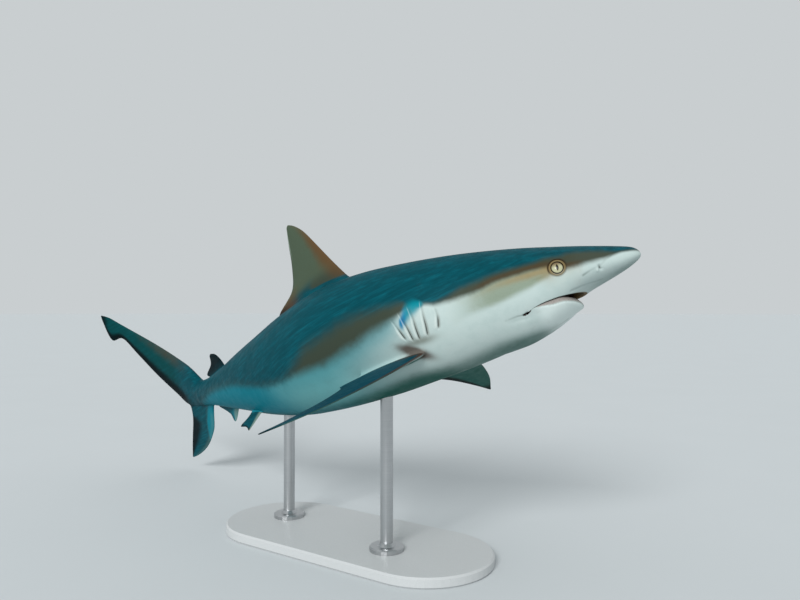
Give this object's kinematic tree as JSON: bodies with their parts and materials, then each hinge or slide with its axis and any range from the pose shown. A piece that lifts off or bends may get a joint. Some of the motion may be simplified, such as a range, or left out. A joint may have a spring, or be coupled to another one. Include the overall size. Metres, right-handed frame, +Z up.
{
  "type": "grey reef shark display model",
  "caption": "Life-size still model of a grey reef shark swimming in a gentle turn, mouth slightly open, held above a flat base on short rods.",
  "frame": {"origin": "centre of the stand's underside", "axes": "+Z up; +X runs level from the tail tip to the snout tip, so the animal swims towards +X; +Y is the animal's left"},
  "size_m": [1.4502, 0.7103, 0.5988],
  "materials": {
    "skin": "satin skin, dark grey-green above with a pale grey-white flank and belly",
    "pale_skin": "satin pale skin of the lower jaw",
    "fin_skin": "satin dark skin with paler edges",
    "dark_fin_skin": "satin near-black skin",
    "eye": "clear gloss over a pale iris with an upright dark pupil",
    "stand_plate": "satin light grey powder coat",
    "stand_rod": "brushed"
  },
  "bodies": {
    "root": {"head": "skin", "lower_jaw": "pale_skin", "gill_region": "skin", "trunk_front": "skin", "trunk_middle": "skin", "trunk_rear": "skin", "tail_stalk": "skin", "eye_left": "eye", "eye_right": "eye", "first_dorsal_fin": "fin_skin", "second_dorsal_fin": "dark_fin_skin", "anal_fin": "dark_fin_skin", "caudal_fin_upper": "fin_skin", "caudal_fin_lower": "dark_fin_skin", "pectoral_fin_left": "fin_skin", "pectoral_fin_right": "fin_skin", "pelvic_fin_left": "fin_skin", "pelvic_fin_right": "fin_skin", "stand_base": "stand_plate", "stand_rod_front": "stand_rod", "stand_rod_rear": "stand_rod"}
  },
  "joints": []
}
